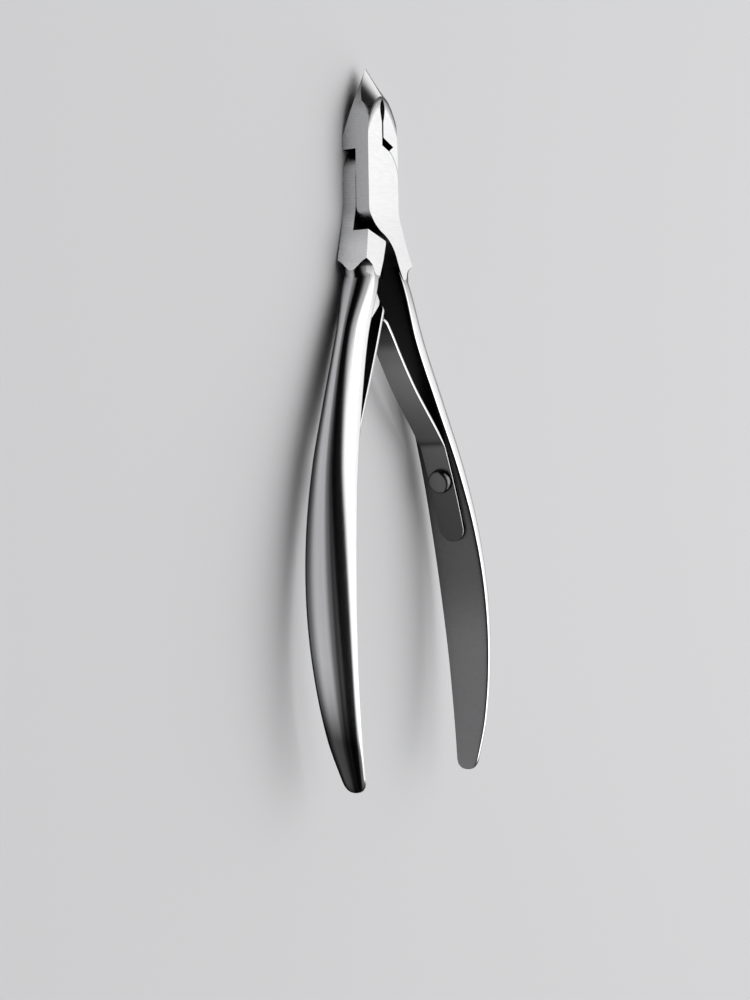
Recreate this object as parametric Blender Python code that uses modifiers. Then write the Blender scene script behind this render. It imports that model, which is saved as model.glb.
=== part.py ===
"""Cuticle nipper in stainless steel, lying on the back of its head.

Two levers cross in a lap joint on a blind rivet.  Each lever runs from a jaw, through a
half-thickness plate at the joint, to a handle on the other side.  A bent leaf spring is
riveted inside each handle, and the two leaves press against each other to open the jaws.

Lengths below are millimetres.  A point is written (x, v, w): x to the right, v along the
tool from the pivot towards the tips, w through the thickness from the lap plane to the front.
"""
import math

import bmesh
import bpy
from mathutils import Matrix, Vector

MM = 0.001

# Reach of the cutters past the body: across the head, through it, and beyond its tip
CUT_WIDE = 12.0
CUT_DEEP = 7.0
CUT_PAST_TIP = 3.0

# Head
TIP_V = 17.0
HEAD_HALF_WIDTH = 4.57
HEAD_HALF_THICK = 2.3
LAP_GAP = 0.05
EDGE_GAP = 0.05
SLIT_HALF = 0.22
HOLE_HALF = 0.7
HOLE_TOP_V = 11.9
HOLE_BOTTOM_V = 8.3
OGIVE_LENGTH = 13.0
OGIVE_POWER = 2.5
TIP_CROWDING = 1.6
TIP_LAND = 0.04
HOLE_SKEW = 0.75
PLATE_RADIUS = 4.5
SEAT_RADIUS = 4.6
SEAT_END_DEGREES = 84.0
HORN_DEGREES = (65.0, 21.0)
JAW_SHOULDER_V = 3.9
JAW_ROOT_V = 4.75
JAW_ROOT_CLEAR_V = 4.85
PLATE_TOP_DEGREES = 67.0
NOTCH_FLOOR_V = 1.9
NOTCH = ((-3.24, 4.95), (-0.1, 6.05))
BLOCK_CORNER_X = 0.55
BLOCK_INNER_X = 3.9
BLOCK_OUTER_EDGE = ((HEAD_HALF_WIDTH, -0.7), (HEAD_HALF_WIDTH, -4.2), (4.63, -5.0), (4.79, -5.8),
                    (5.06, -6.9), (5.45, -8.5), (6.38, -11.3), (7.3, -13.9))
BLOCK_INNER_EDGE = ((3.3, -15.6), (1.8, -13.0), (BLOCK_CORNER_X, -10.6))
BLOCK_TOP = ((CUT_WIDE, -7.1), (BLOCK_CORNER_X, -10.15), (0.3, -11.0), (-CUT_WIDE, -11.0))
RELIEF_SIDE = ((BLOCK_INNER_X, -18.0), (-3.0, -18.0), (-3.0, -10.6))
PLATE_END = ((-4.57, -5.0), (-4.3, -6.1), (-3.2, -7.6), (-1.9, -8.55), (-0.4, -9.25), (0.7, -9.95),
             (1.65, -10.95), (2.25, -12.0), (2.75, -13.5), (3.3, -14.7), (3.9, -15.8))
ARC_STEPS = 12
CURVE_STEPS = 2

# Stop tooth on the back lever, as (x, v) points, and its span about the handle's middle
STOP_TOOTH = ((-4.9, -17.6), (-3.5, -19.7), (-3.7, -20.4), (-5.9, -22.4), (-7.4, -22.4), (-6.4, -17.6))
STOP_TOOTH_V = -20.0
STOP_TOOTH_SPAN = (-1.5, 2.1)

# Cutting bevels: height of each face over the middle plane, and how it falls sideways.  The
# front one starts at an arch on the front face and steepens away from the cutting edge.
TIP_W = -0.55
BACK_BEVEL_SLOPE = 0.36
BACK_BEVEL_SIDE = 0.50
FRONT_EDGE_V = 12.4
FRONT_BEVEL_SLOPE = 0.615
FRONT_BEVEL_ARCH = 0.215
FRONT_BEVEL_STEEPEN = 0.13
FRONT_BEVEL_RUN = 4.0
BACK_BEVEL_RUN = 16.0
BEVEL_DEPTHS = (-1.0, 0.0, 0.9, 1.8, 2.7, 3.6, 4.8, 6.0)

# Handles sweep towards the front below the joint
SWEEP_START_V = -6.0
SWEEP_SLOPE = 0.083
SWEEP_CURVE = -0.000135
BLOCK_SWELL = 0.27
BLOCK_SWELL_LENGTH = 7.5
BLOCK_END_V = -16.6
BLOCK_END_OUTER_X = 8.2
HANDLE_END_V = -93.0

# Round taper at the end of the block: v, inner x, thickness in x, half width in w
BLOCK_END_STATIONS = (
    (20.0, -20.0, 40.0, 20.0),
    (-10.0, -10.0, 40.0, 20.0),
    (-12.4, -2.0, 14.0, 6.5),
    (-13.0, 0.0, 10.0, 4.6),
    (-13.4, 1.3, 7.4, 3.6),
    (-13.75, 1.6, 6.7, 3.12),
    (-14.2, 1.85, 6.15, 2.85),
    (-14.7, 2.15, 5.65, 2.73),
    (-15.15, 2.5, 5.25, 2.66),
    (-16.6, 3.3, 4.3, 2.45),
    (-17.4, 4.4, 2.3, 2.0),
)

# Handle stations: v, inner face x, half width in w, thickness in x
HANDLE_STATIONS = (
    (-12.5, 2.5, 2.30, 3.1),
    (-17.0, 3.8, 2.70, 4.15),
    (-25.0, 7.2, 2.20, 4.75),
    (-35.0, 11.5, 2.70, 4.80),
    (-45.0, 15.5, 3.43, 4.40),
    (-55.0, 18.4, 3.98, 3.55),
    (-65.0, 20.05, 4.08, 2.80),
    (-75.0, 20.4, 3.68, 2.20),
    (-85.0, 19.3, 2.83, 1.85),
    (-93.0, 17.1, 1.60, 1.3),
)
HANDLE_FLAT_POWER = 8.0
HANDLE_ROUND_POWER = 2.05
HANDLE_FLAT_SHARE = 0.3
HANDLE_DROP = 0.15
HANDLE_RING_POINTS = 28
HANDLE_RINGS = 34
HANDLE_TIP_ROUND = 1.5
HANDLE_TIP_DEGREES = (25.0, 48.0, 68.0, 84.0)
HANDLE_TIP_POWER = 0.7

# Pivot rivet, blind in the front plate
PIVOT_RADIUS = 1.5
PIVOT_HEAD_RADIUS = 2.1
PIVOT_HEAD_DEPTH = 0.8
PIVOT_TOP_W = 1.8
PIVOT_RECESS = 0.03
PIVOT_CLEARANCE = 0.05
PIVOT_STEPS = 28

# Springs
STRIP_THICK = 0.55
STRIP_SEAT_GAP = 0.1
SEAT_CURVE_ALLOWANCE = 0.02
STRIP_HALF_WIDTH = 2.2
LEAF_TIP_HALF_WIDTH = 1.9
CREASE_V = -40.6
FOOT_END_V = -56.6
HINGE_GAP = 0.45
FOOT_STEPS = 12
FOOT_CAP_STEPS = 6
LEAF_STEPS = 3
LEAF_TIP_SHARE = 0.7
RIGHT_LEAF = ((13.1, -40.6), (10.9, -38.2), (8.6, -35.8), (6.0, -33.0), (3.8, -30.2), (1.7, -27.2),
              (0.1, -24.7), (-1.8, -22.1))
LEFT_LEAF = ((-13.1, -40.6), (-10.9, -36.7), (-8.4, -32.4), (-5.5, -27.3), (-3.4, -23.5), (-1.5, -20.0))
SPRING_RIVET_V = -46.7
SPRING_RIVET_HEAD_RADIUS = 1.92
SPRING_RIVET_HEAD_FLAT = 1.4
SPRING_RIVET_HEAD_HEIGHT = 1.0
SPRING_RIVET_SHANK_RADIUS = 0.9
SPRING_RIVET_DEPTH = 2.0
SPRING_RIVET_CLEARANCE = 0.05
SPRING_RIVET_STEPS = 24
SPRING_BORE_STEPS = 20
SPRING_BORE_TOP = 3.0

# Frame: the origin is under the middle of the tool's length
PIVOT_Y = -(TIP_V + HANDLE_END_V) / 2.0
EPS = 1e-6


def place(x, v, w):
    """Turn a design point into world metres."""
    return Vector((x, v + PIVOT_Y, w + HEAD_HALF_THICK)) * MM


def clear_scene():
    for thing in list(bpy.data.objects):
        bpy.data.objects.remove(thing, do_unlink=True)


def new_collection(name):
    collection = bpy.data.collections.new(name)
    bpy.context.scene.collection.children.link(collection)
    return collection


def steel(name, colour, roughness):
    material = bpy.data.materials.new(name)
    material.use_nodes = True
    shader = material.node_tree.nodes["Principled BSDF"]
    shader.inputs["Base Color"].default_value = (*colour, 1.0)
    shader.inputs["Metallic"].default_value = 1.0
    shader.inputs["Roughness"].default_value = roughness
    material.diffuse_color = (*colour, 1.0)
    return material


def mesh_object(name, mesh, collection):
    thing = bpy.data.objects.new(name, mesh)
    collection.objects.link(thing)
    return thing


def as_cutter(thing):
    thing.hide_render = True
    thing.display_type = "WIRE"
    return thing


def weld_and_orient(mesh):
    work = bmesh.new()
    work.from_mesh(mesh)
    bmesh.ops.remove_doubles(work, verts=work.verts, dist=EPS)
    bmesh.ops.recalc_face_normals(work, faces=work.faces)
    work.to_mesh(mesh)
    work.free()


def flat_solid(name, points, thickness, matrix, collection):
    """Extrude a closed outline, given in the matrix's own plane, by its thickness."""
    curve = bpy.data.curves.new(name, "CURVE")
    curve.dimensions = "2D"
    curve.fill_mode = "BOTH"
    curve.extrude = thickness * MM / 2.0
    spline = curve.splines.new("POLY")
    spline.points.add(len(points) - 1)
    for target, (across, along) in zip(spline.points, points):
        target.co = (across * MM, along * MM, 0.0, 1.0)
    spline.use_cyclic_u = True
    outline = bpy.data.objects.new(name + "_outline", curve)
    collection.objects.link(outline)
    outline.matrix_world = matrix
    bpy.context.view_layer.update()
    evaluated = outline.evaluated_get(bpy.context.evaluated_depsgraph_get())
    mesh = bpy.data.meshes.new_from_object(evaluated)
    mesh.name = name
    weld_and_orient(mesh)
    solid = mesh_object(name, mesh, collection)
    solid.matrix_world = matrix
    bpy.data.objects.remove(outline, do_unlink=True)
    return solid


def plan_solid(name, points, low_w, high_w, collection):
    """Extrude an outline of (x, v) points through the thickness, from low_w to high_w."""
    matrix = Matrix.Translation(place(0.0, 0.0, (low_w + high_w) / 2.0))
    return flat_solid(name, points, high_w - low_w, matrix, collection)


def side_solid(name, points, low_x, high_x, collection):
    """Extrude an outline of (w, v) points across the tool, from low_x to high_x."""
    turn = Matrix(((0.0, 0.0, -1.0), (0.0, 1.0, 0.0), (1.0, 0.0, 0.0))).to_4x4()
    matrix = Matrix.Translation(place((low_x + high_x) / 2.0, 0.0, 0.0)) @ turn
    return flat_solid(name, points, high_x - low_x, matrix, collection)


def loft_solid(name, rings, collection):
    """Join rings of matching points into one closed body."""
    work = bmesh.new()
    rows = [[work.verts.new(place(*point)) for point in ring] for ring in rings]
    count = len(rings[0])
    for near, far in zip(rows, rows[1:]):
        for i in range(count):
            j = (i + 1) % count
            work.faces.new((near[i], near[j], far[j], far[i]))
    work.faces.new(rows[0])
    work.faces.new(rows[-1])
    bmesh.ops.recalc_face_normals(work, faces=work.faces)
    mesh = bpy.data.meshes.new(name)
    work.to_mesh(mesh)
    work.free()
    return mesh_object(name, mesh, collection)


def combine(target, other, operation):
    modifier = target.modifiers.new(other.name, "BOOLEAN")
    modifier.operation = operation
    modifier.object = other
    modifier.solver = "EXACT"


def arc(radius, start_degrees, end_degrees, steps):
    points = []
    for i in range(steps + 1):
        angle = math.radians(start_degrees + (end_degrees - start_degrees) * i / steps)
        points.append((radius * math.cos(angle), radius * math.sin(angle)))
    return points


def path_points(points, steps):
    """Even stations on a smooth curve through the given (x, v) points."""
    result = []
    last = len(points) - 1
    for i in range(last):
        a, b = Vector(points[max(i - 1, 0)]), Vector(points[i])
        c, d = Vector(points[i + 1]), Vector(points[min(i + 2, last)])
        for k in range(steps):
            t = k / steps
            point = 0.5 * (2 * b + (c - a) * t + (2 * a - 5 * b + 4 * c - d) * t * t
                           + (3 * b - a - 3 * c + d) * t ** 3)
            result.append(point)
    result.append(Vector(points[-1]))
    return result


def mirrored(points):
    """Swap left and right, keeping the outline's direction."""
    return [(-x, v) for x, v in reversed(points)]


def sweep(v):
    """Forward offset of the handle's middle at v."""
    below = max(0.0, SWEEP_START_V - v)
    return SWEEP_SLOPE * below + SWEEP_CURVE * below * below


def block_half_thick(v):
    below = max(0.0, SWEEP_START_V - v)
    return HEAD_HALF_THICK + BLOCK_SWELL * min(1.0, below / BLOCK_SWELL_LENGTH)


def smooth_value(stations, v, column):
    """Read one column of the stations at v by a Catmull-Rom curve through them."""
    last = len(stations) - 1
    i = 0
    while i < last - 1 and stations[i + 1][0] > v:
        i += 1
    here, there = stations[i], stations[i + 1]
    before = stations[max(i - 1, 0)]
    after = stations[min(i + 2, last)]
    span = there[0] - here[0]
    t = (v - here[0]) / span
    slope_here = (there[column] - before[column]) / (there[0] - before[0]) * span
    slope_there = (after[column] - here[column]) / (after[0] - here[0]) * span
    return (
        (2 * t ** 3 - 3 * t ** 2 + 1) * here[column]
        + (t ** 3 - 2 * t ** 2 + t) * slope_here
        + (3 * t ** 2 - 2 * t ** 3) * there[column]
        + (t ** 3 - t ** 2) * slope_there
    )


def inner_face_x(v):
    return smooth_value(HANDLE_STATIONS, v, 1)


# --- levers -------------------------------------------------------------------------------

def jaw_half_width(v):
    """Half width of the closed head at v; it closes in an ogive to the tip."""
    run = min(1.0, (TIP_V - v) / OGIVE_LENGTH)
    return HEAD_HALF_WIDTH * (1.0 - (1.0 - run) ** OGIVE_POWER)


def jaw_outer_edge(steps=12):
    """Left edge of the left jaw, from the shoulder up to the tip."""
    bottom = TIP_V - OGIVE_LENGTH
    points = []
    for i in range(steps + 1):
        share = i / steps
        v = bottom + (TIP_V - bottom) * (1.0 - (1.0 - share) ** TIP_CROWDING)
        points.append((-max(jaw_half_width(v), EDGE_GAP + TIP_LAND), v))
    return points


def jaw_inner_edge(bottom_v, steps=8):
    """Facing edge of the left jaw, from the tip down past the relief hole and the slit."""
    points = [(-EDGE_GAP, TIP_V), (-EDGE_GAP, HOLE_TOP_V)]
    for i in range(1, steps):
        share = i / steps
        bulge = math.sin(math.pi * share ** HOLE_SKEW)
        base = EDGE_GAP + (SLIT_HALF - EDGE_GAP) * share
        x = base + (HOLE_HALF - base) * bulge
        points.append((-x, HOLE_TOP_V + (HOLE_BOTTOM_V - HOLE_TOP_V) * share))
    points.append((-SLIT_HALF, HOLE_BOTTOM_V))
    points.append((-SLIT_HALF, bottom_v))
    return points


def plate_end():
    """S-shaped end of the plate, from the left edge of the head down to the block's face."""
    curve = [(point.x, point.y) for point in path_points(PLATE_END, CURVE_STEPS)]
    under_plate = [point for point in curve if point[0] < BLOCK_CORNER_X]
    beside_block = [point for point in curve if point[0] >= BLOCK_CORNER_X]
    return under_plate, beside_block


def lever_outline():
    """Front lever seen from the front: left jaw, plate round the pivot, block on the right."""
    points = jaw_outer_edge()
    points += jaw_inner_edge(JAW_ROOT_V)
    points += arc(PLATE_RADIUS, PLATE_TOP_DEGREES, 0.0, ARC_STEPS)
    points += list(BLOCK_OUTER_EDGE) + [(BLOCK_END_OUTER_X, BLOCK_END_V), (BLOCK_INNER_X, BLOCK_END_V)]
    points += list(BLOCK_INNER_EDGE)
    under_plate = plate_end()[0]
    points += [(BLOCK_CORNER_X, under_plate[-1][1] - LAP_GAP)] + list(reversed(under_plate))
    return points


def pocket_outline(jaw_edge):
    """Room for the other lever's plate, from the far half of the jaw to the top of the block."""
    return jaw_edge + list(BLOCK_TOP)


def square_jaw_edge():
    """The far half of the front lever's jaw: a square shoulder, then a seat round the plate."""
    shoulder_degrees = math.degrees(math.asin(JAW_SHOULDER_V / SEAT_RADIUS))
    seat = [(-x, v) for x, v in arc(SEAT_RADIUS, shoulder_degrees, SEAT_END_DEGREES, ARC_STEPS)]
    root = [(seat[-1][0], JAW_ROOT_CLEAR_V), (CUT_WIDE, JAW_ROOT_CLEAR_V)]
    return [(-CUT_WIDE, JAW_SHOULDER_V)] + seat + root


def seated_jaw_edge():
    """The far half of the back lever's jaw: a slanted notch, then a horn round the plate."""
    horn = [(-x, v) for x, v in reversed(arc(SEAT_RADIUS, *HORN_DEGREES, ARC_STEPS))]
    floor = [(-CUT_WIDE, NOTCH_FLOOR_V), (-HEAD_HALF_WIDTH, NOTCH_FLOOR_V)]
    return floor + horn + list(NOTCH) + [(CUT_WIDE, NOTCH[-1][1])]


def relief_outline():
    """The near face of the block is cut back beside the S-shaped end of the plate."""
    under_plate, beside_block = plate_end()
    return [under_plate[-1]] + beside_block + list(RELIEF_SIDE)


def side_profile():
    """Front and back faces of the head and the blocks, as (w, v) points."""
    top_v = TIP_V + CUT_PAST_TIP
    bend_v = SWEEP_START_V - BLOCK_SWELL_LENGTH
    below_v = BLOCK_END_V - 1.0
    front = [(HEAD_HALF_THICK, top_v), (HEAD_HALF_THICK, SWEEP_START_V)]
    back = [(-HEAD_HALF_THICK, top_v), (-HEAD_HALF_THICK, SWEEP_START_V)]
    for v in (bend_v, below_v):
        front.append((sweep(v) + block_half_thick(v), v))
        back.append((sweep(v) - block_half_thick(v), v))
    return front + list(reversed(back))


def front_bevel(side, collection):
    """Body in front of the sharpened face of one jaw; side is -1 for the left jaw."""
    rings = []
    for depth in BEVEL_DEPTHS:
        edge_v = FRONT_EDGE_V - FRONT_BEVEL_ARCH * depth ** 2
        slope = FRONT_BEVEL_SLOPE + FRONT_BEVEL_STEEPEN * abs(depth)
        low_v = edge_v - FRONT_BEVEL_RUN
        high_v = TIP_V + CUT_PAST_TIP
        low_w = HEAD_HALF_THICK + slope * (edge_v - low_v)
        high_w = HEAD_HALF_THICK - slope * (high_v - edge_v)
        x = side * depth
        rings.append([(x, low_v, low_w), (x, high_v, high_w), (x, high_v, low_w)])
    return as_cutter(loft_solid("front_bevel", rings, collection))


def back_bevel(side, collection):
    """Body behind the sloping back face of one jaw."""
    rings = []
    for depth in (BEVEL_DEPTHS[0], BEVEL_DEPTHS[-1]):
        rise = BACK_BEVEL_SIDE * depth
        low_v = TIP_V - BACK_BEVEL_RUN
        high_v = TIP_V + CUT_PAST_TIP
        low_w = TIP_W - BACK_BEVEL_SLOPE * BACK_BEVEL_RUN + rise
        high_w = TIP_W + BACK_BEVEL_SLOPE * CUT_PAST_TIP + rise
        x = side * depth
        rings.append([(x, low_v, low_w), (x, high_v, high_w), (x, high_v, low_w)])
    return as_cutter(loft_solid("back_bevel", rings, collection))


def d_ring(side, v, inner, thick, half_w, flat_power, round_power, drop=0.0):
    """D-shaped section at v: a flat inner face, and a fuller, rounder outer one."""
    flat_depth = thick * HANDLE_FLAT_SHARE
    ring = []
    for i in range(HANDLE_RING_POINTS):
        angle = 2.0 * math.pi * i / HANDLE_RING_POINTS
        c, s = math.cos(angle), math.sin(angle)
        power = round_power if c > 0.0 else flat_power
        depth = (thick - flat_depth) if c > 0.0 else flat_depth
        x = inner + flat_depth + math.copysign(abs(c) ** (2.0 / power), c) * depth
        w = sweep(v) - drop + math.copysign(abs(s) ** (2.0 / power), s) * half_w
        ring.append((side * x, v, w))
    return ring


def block_end_cone(side, collection):
    """Round taper that trims the block's outer corners where it meets the handle."""
    rings = [d_ring(side, *station, HANDLE_FLAT_POWER, 2.0) for station in BLOCK_END_STATIONS]
    return as_cutter(loft_solid("block_end", rings, collection))


def handle_ring(side, v, shrink):
    inner = inner_face_x(v)
    half_w = smooth_value(HANDLE_STATIONS, v, 2)
    thick = smooth_value(HANDLE_STATIONS, v, 3)
    inner += (1.0 - shrink) * thick / 2.0
    powers = (HANDLE_FLAT_POWER, HANDLE_ROUND_POWER)
    return d_ring(side, v, inner, thick * shrink, half_w * shrink, *powers, HANDLE_DROP)


def handle(side, collection):
    top_v = HANDLE_STATIONS[0][0]
    round_v = HANDLE_END_V + HANDLE_TIP_ROUND
    rings = []
    for i in range(HANDLE_RINGS):
        v = top_v + (round_v - top_v) * i / (HANDLE_RINGS - 1)
        rings.append(handle_ring(side, v, 1.0))
    for degrees in HANDLE_TIP_DEGREES:
        angle = math.radians(degrees)
        v = round_v - HANDLE_TIP_ROUND * math.sin(angle)
        rings.append(handle_ring(side, v, math.cos(angle) ** HANDLE_TIP_POWER))
    return as_cutter(loft_solid("handle", rings, collection))


def stop_tooth(collection):
    """Small tooth on the inner side of the left handle, under the end of the block."""
    low_w, high_w = (sweep(STOP_TOOTH_V) + offset for offset in STOP_TOOTH_SPAN)
    return as_cutter(plan_solid("stop_tooth", STOP_TOOTH, low_w, high_w, collection))


def lever(name, side, jaw_edge, extras, parts, cutters):
    """side is +1 for the front lever, whose handle is on the right, and -1 for the back one."""
    outlines = [lever_outline(), pocket_outline(jaw_edge), relief_outline()]
    if side < 0:
        outlines = [mirrored(points) for points in outlines]
    outline, pocket, relief = outlines
    body = plan_solid(name, outline, -CUT_DEEP, CUT_DEEP, parts)
    profile = side_solid("head_faces", side_profile(), -CUT_WIDE, CUT_WIDE, cutters)
    combine(body, as_cutter(profile), "INTERSECT")
    combine(body, block_end_cone(side, cutters), "INTERSECT")
    behind, before = (-2.0 * CUT_DEEP, LAP_GAP), (-LAP_GAP, 2.0 * CUT_DEEP)
    pocket_span, relief_span = (behind, before) if side > 0 else (before, behind)
    combine(body, as_cutter(plan_solid("lap_pocket", pocket, *pocket_span, cutters)), "DIFFERENCE")
    combine(body, as_cutter(plan_solid("block_relief", relief, *relief_span, cutters)), "DIFFERENCE")
    combine(body, front_bevel(-side, cutters), "DIFFERENCE")
    combine(body, back_bevel(-side, cutters), "DIFFERENCE")
    combine(body, handle(side, cutters), "UNION")
    for thing, operation in extras:
        combine(body, thing, operation)
    return body


# --- rivets -------------------------------------------------------------------------------

def turned_solid(name, profile, matrix, steps, collection):
    """Turn a profile of (radius, height) points, listed top to bottom, about local Z."""
    work = bmesh.new()
    verts = [work.verts.new((radius * MM, 0.0, height * MM)) for radius, height in profile]
    for near, far in zip(verts, verts[1:]):
        work.edges.new((near, far))
    mesh = bpy.data.meshes.new(name)
    work.to_mesh(mesh)
    work.free()
    solid = mesh_object(name, mesh, collection)
    solid.matrix_world = matrix
    screw = solid.modifiers.new("turn", "SCREW")
    screw.angle = 2.0 * math.pi
    screw.steps = steps
    screw.render_steps = steps
    screw.use_merge_vertices = True
    screw.merge_threshold = EPS
    screw.use_smooth_shade = True
    return solid


def pivot_profile(grow):
    head_w = -HEAD_HALF_THICK + PIVOT_RECESS
    return [(0.0, PIVOT_TOP_W + grow), (PIVOT_RADIUS + grow, PIVOT_TOP_W + grow),
            (PIVOT_RADIUS + grow, head_w + PIVOT_HEAD_DEPTH + grow),
            (PIVOT_HEAD_RADIUS + grow, head_w + PIVOT_HEAD_DEPTH + grow),
            (PIVOT_HEAD_RADIUS + grow, head_w - 10.0 * grow), (0.0, head_w - 10.0 * grow)]


def rivet_axis(side):
    """Matrix at the foot's inner surface, local Z pointing away from the handle."""
    step = 0.5
    rise = (inner_face_x(SPRING_RIVET_V - step) - inner_face_x(SPRING_RIVET_V + step)) / (2.0 * step)
    outward = Vector((-side, -rise, 0.0)).normalized()
    across = Vector((0.0, 0.0, 1.0))
    along = across.cross(outward)
    turn = Matrix((along, across, outward)).transposed().to_4x4()
    lift = STRIP_SEAT_GAP + STRIP_THICK + STRIP_SEAT_GAP
    seat = place(side * inner_face_x(SPRING_RIVET_V), SPRING_RIVET_V, sweep(SPRING_RIVET_V))
    return Matrix.Translation(seat + outward * lift * MM) @ turn


def spring_rivet_profile(grow, with_head):
    depth = STRIP_SEAT_GAP + STRIP_THICK + SPRING_RIVET_DEPTH + grow
    shank = SPRING_RIVET_SHANK_RADIUS + grow
    if not with_head:
        return [(0.0, SPRING_BORE_TOP), (shank, SPRING_BORE_TOP), (shank, -depth), (0.0, -depth)]
    profile = [(0.0, SPRING_RIVET_HEAD_HEIGHT), (SPRING_RIVET_HEAD_FLAT, SPRING_RIVET_HEAD_HEIGHT)]
    for degrees in (22.5, 45.0, 67.5, 90.0):
        angle = math.radians(degrees)
        reach = SPRING_RIVET_HEAD_RADIUS - SPRING_RIVET_HEAD_FLAT
        profile.append((SPRING_RIVET_HEAD_FLAT + reach * math.sin(angle),
                        SPRING_RIVET_HEAD_HEIGHT * (0.25 + 0.75 * math.cos(angle))))
    profile += [(SPRING_RIVET_HEAD_RADIUS, 0.0), (shank, 0.0), (shank, -depth), (0.0, -depth)]
    return profile


# --- springs ------------------------------------------------------------------------------

def strip_solid(name, path, half_widths, collection):
    """Loft a thin strip along the path; its width runs in w about the handles' sweep."""
    rings = []
    last = len(path) - 1
    for i, point in enumerate(path):
        ahead = path[min(i + 1, last)] - path[max(i - 1, 0)]
        normal = Vector((-ahead.y, ahead.x)).normalized() * STRIP_THICK / 2.0
        left, right = point + normal, point - normal
        middle, half = sweep(point.y), half_widths[i]
        rings.append([(left.x, left.y, middle - half), (left.x, left.y, middle + half),
                      (right.x, right.y, middle + half), (right.x, right.y, middle - half)])
    return loft_solid(name, rings, collection)


def foot(name, side, collection):
    """Flat foot of a spring, lying on the handle's inner face, with a round end."""
    stations = []
    for i in range(FOOT_CAP_STEPS):
        angle = math.radians(90.0 * (i + 0.35) / FOOT_CAP_STEPS)
        v = FOOT_END_V + STRIP_HALF_WIDTH * (1.0 - math.cos(angle))
        stations.append((v, STRIP_HALF_WIDTH * math.sin(angle)))
    low_v, high_v = FOOT_END_V + STRIP_HALF_WIDTH, CREASE_V - HINGE_GAP
    for i in range(FOOT_STEPS + 1):
        stations.append((low_v + (high_v - low_v) * i / FOOT_STEPS, STRIP_HALF_WIDTH))
    offset = STRIP_SEAT_GAP + STRIP_THICK / 2.0 + SEAT_CURVE_ALLOWANCE
    path = [Vector((side * (inner_face_x(v) - offset), v)) for v, half in stations]
    return strip_solid(name, path, [half for v, half in stations], collection)


def leaf(name, points, collection):
    """Free leaf of a spring, from its crease to a slightly narrower rounded tip."""
    path = path_points(points, LEAF_STEPS)
    last = len(path) - 1
    widths = []
    for i in range(last + 1):
        share = i / last
        width = STRIP_HALF_WIDTH + (LEAF_TIP_HALF_WIDTH - STRIP_HALF_WIDTH) * share
        widths.append(width if i < last else width * LEAF_TIP_SHARE)
    return strip_solid(name, path, widths, collection)


def pivot_empty(name, x, v, collection):
    empty = bpy.data.objects.new(name, None)
    empty.location = place(x, v, 0.0)
    collection.objects.link(empty)
    return empty


def attach(thing, empty):
    """Parent without moving the thing."""
    bpy.context.view_layer.update()
    thing.parent = empty
    thing.matrix_parent_inverse = empty.matrix_world.inverted()


def shade(thing, material):
    mesh = thing.data
    mesh.materials.clear()
    mesh.materials.append(material)
    mesh.shade_smooth()
    mesh.set_sharp_from_angle(angle=math.radians(25.0))


def build():
    clear_scene()
    parts = new_collection("cuticle_nipper")
    cutters = new_collection("cutters")
    polished = steel("polished_steel", (0.62, 0.62, 0.63), 0.12)
    satin = steel("satin_steel", (0.42, 0.42, 0.43), 0.35)
    dark = steel("rivet_steel", (0.30, 0.30, 0.31), 0.28)

    pivot_matrix = Matrix.Translation(place(0.0, 0.0, 0.0))
    clear_profile = pivot_profile(PIVOT_CLEARANCE)
    pivot_bore = turned_solid("pivot_bore", clear_profile, pivot_matrix, PIVOT_STEPS, cutters)
    as_cutter(pivot_bore)
    rivet_bores = {}
    for side in (1, -1):
        profile = spring_rivet_profile(SPRING_RIVET_CLEARANCE, False)
        bore = turned_solid("spring_rivet_bore", profile, rivet_axis(side), SPRING_BORE_STEPS, cutters)
        rivet_bores[side] = as_cutter(bore)

    front = lever("front_lever", 1, square_jaw_edge(),
                  [(pivot_bore, "DIFFERENCE"), (rivet_bores[1], "DIFFERENCE")], parts, cutters)
    back = lever("back_lever", -1, seated_jaw_edge(),
                 [(stop_tooth(cutters), "UNION"), (pivot_bore, "DIFFERENCE"),
                  (rivet_bores[-1], "DIFFERENCE")], parts, cutters)
    pivot = turned_solid("pivot_rivet", pivot_profile(0.0), pivot_matrix, PIVOT_STEPS, parts)
    for thing in (front, back):
        shade(thing, polished)
    shade(pivot, dark)

    jaw_axis = pivot_empty("jaw_axis", 0.0, 0.0, parts)
    attach(front, jaw_axis)
    leaves = {1: RIGHT_LEAF, -1: LEFT_LEAF}
    for side, label in ((1, "right"), (-1, "left")):
        plate = foot(label + "_spring_foot", side, parts)
        combine(plate, rivet_bores[side], "DIFFERENCE")
        blade = leaf(label + "_spring_leaf", leaves[side], parts)
        stud = turned_solid(label + "_spring_rivet", spring_rivet_profile(0.0, True),
                            rivet_axis(side), SPRING_RIVET_STEPS, parts)
        crease_axis = pivot_empty(label + "_crease_axis", *leaves[side][0], parts)
        attach(blade, crease_axis)
        for thing in (plate, blade):
            shade(thing, satin)
        shade(stud, dark)
        if side > 0:
            for thing in (plate, stud, crease_axis):
                attach(thing, jaw_axis)


build()
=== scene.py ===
"""Cuticle nipper: finished surfaces and studio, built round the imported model.

Two polished steel levers, their rivets and two continuous leaf springs replace the plain
solids of the frame.  A point is written (x, v, w) in millimetres: x to the right, v along the
tool from the pivot towards the tips, w through the thickness from the lap plane to the front.
"""
import math

import bmesh
import bpy
from mathutils import Matrix, Vector

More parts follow.
